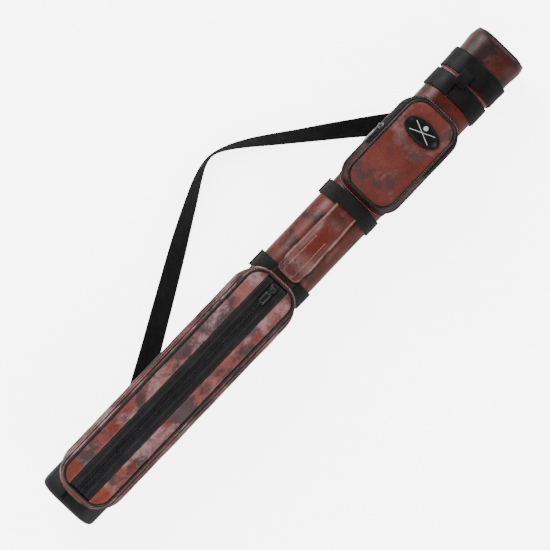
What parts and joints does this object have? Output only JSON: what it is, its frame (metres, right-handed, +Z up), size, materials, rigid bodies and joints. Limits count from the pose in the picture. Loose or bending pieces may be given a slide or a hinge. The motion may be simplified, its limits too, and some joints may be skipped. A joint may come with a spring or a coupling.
{
  "type": "cue case",
  "caption": "Hard cue case with four cue tubes, back-hinged lid, two zipped pockets, carry handle and shoulder strap, lying on its back.",
  "frame": {"origin": "on the surface that the case lies on, under the middle of the case", "axes": "+Z up out of the pockets, +Y along the case towards the lid"},
  "size_m": [0.2311, 0.838, 0.1201],
  "materials": {
    "leatherette": "marbled reddish brown vinyl, satin",
    "webbing": "black woven webbing",
    "strap_webbing": "black woven shoulder strap webbing",
    "black_vinyl": "black grained vinyl trim",
    "piping": "dark covered piping",
    "zip_tape": "black zip tape",
    "zip_coil": "black coil",
    "zip_metal": "nickel plated",
    "black_metal": "black enamelled wire and buckles",
    "stud_metal": "plated brass",
    "case_board": "rigid dark case wall",
    "tube_plastic": "dark tube liner",
    "insert_foam": "dark grey dense foam",
    "binding": "black edge binding",
    "badge": "black moulded patch"
  },
  "bodies": {
    "case_body": {"body_skin": "leatherette", "long_pocket_gusset": "leatherette", "long_pocket_panel": "leatherette", "small_pocket_gusset": "leatherette", "small_pocket_panel": "leatherette", "handle_pad": "leatherette", "lower_band": "webbing", "upper_band": "webbing", "anchor_webbing": "webbing", "hinge_strap_body": "webbing", "shoulder_strap": "strap_webbing", "bottom_boot": "black_vinyl", "boot_seam_strip": "black_vinyl", "collar_band": "black_vinyl", "long_pocket_piping": "piping", "small_pocket_piping": "piping", "long_zip_tape_left": "zip_tape", "long_zip_tape_right": "zip_tape", "small_zip_tape": "zip_tape", "long_zip_coil": "zip_coil", "small_zip_coil": "zip_coil", "lower_band_buckle": "black_metal", "upper_band_buckle": "black_metal", "lower_ring": "black_metal", "upper_ring": "black_metal", "press_stud": "stud_metal", "body_shell": "case_board", "butt_tube_front": "tube_plastic", "butt_tube_back": "tube_plastic", "shaft_tube_front": "tube_plastic", "shaft_tube_back": "tube_plastic", "base_pad": "insert_foam", "base_plate": "insert_foam", "mouth_plate": "insert_foam", "mouth_binding": "binding", "badge": "badge"},
    "lid": {"lid_shell": "case_board", "lid_skin": "leatherette", "lid_binding": "binding", "lid_insert": "insert_foam", "lid_pad": "insert_foam", "lid_band": "black_vinyl", "hinge_strap_lid": "webbing", "closure_tab_base": "black_vinyl"},
    "tab": {"closure_tab": "black_vinyl", "stud_socket": "stud_metal"},
    "long_slider": {"long_zip_slider": "zip_metal"},
    "long_pull": {"long_zip_pull": "zip_metal"},
    "small_slider": {"small_zip_slider": "zip_metal"},
    "small_pull": {"small_zip_pull": "zip_metal"}
  },
  "joints": [
    {"name": "lid_hinge", "type": "hinge", "parent": "case_body", "child": "lid", "pos_m": [0, 0.3476, -0.0004], "axis": [-1, 0, 0], "range_deg": [0, 180]},
    {"name": "closure_tab_lift", "type": "hinge", "parent": "lid", "child": "tab", "pos_m": [-0.0085, 0.35135, 0.0919], "axis": [-1, 0, 0], "range_deg": [0, 100]},
    {"name": "long_zip_slide", "type": "slide", "parent": "case_body", "child": "long_slider", "axis": [0, -1, 0], "range_m": [0, 0.32]},
    {"name": "long_pull_swing", "type": "hinge", "parent": "long_slider", "child": "long_pull", "pos_m": [0, -0.022, 0.11845], "axis": [-1, 0, 0], "range_deg": [0, 170]},
    {"name": "small_zip_slide", "type": "slide", "parent": "case_body", "child": "small_slider", "axis": [0, 1, 0], "range_m": [-0.022, 0.036]},
    {"name": "small_pull_swing", "type": "hinge", "parent": "small_slider", "child": "small_pull", "pos_m": [-0.04736, 0.229, 0.09914], "axis": [-0.3174, 0, -0.9483], "range_deg": [0, 160]}
  ]
}
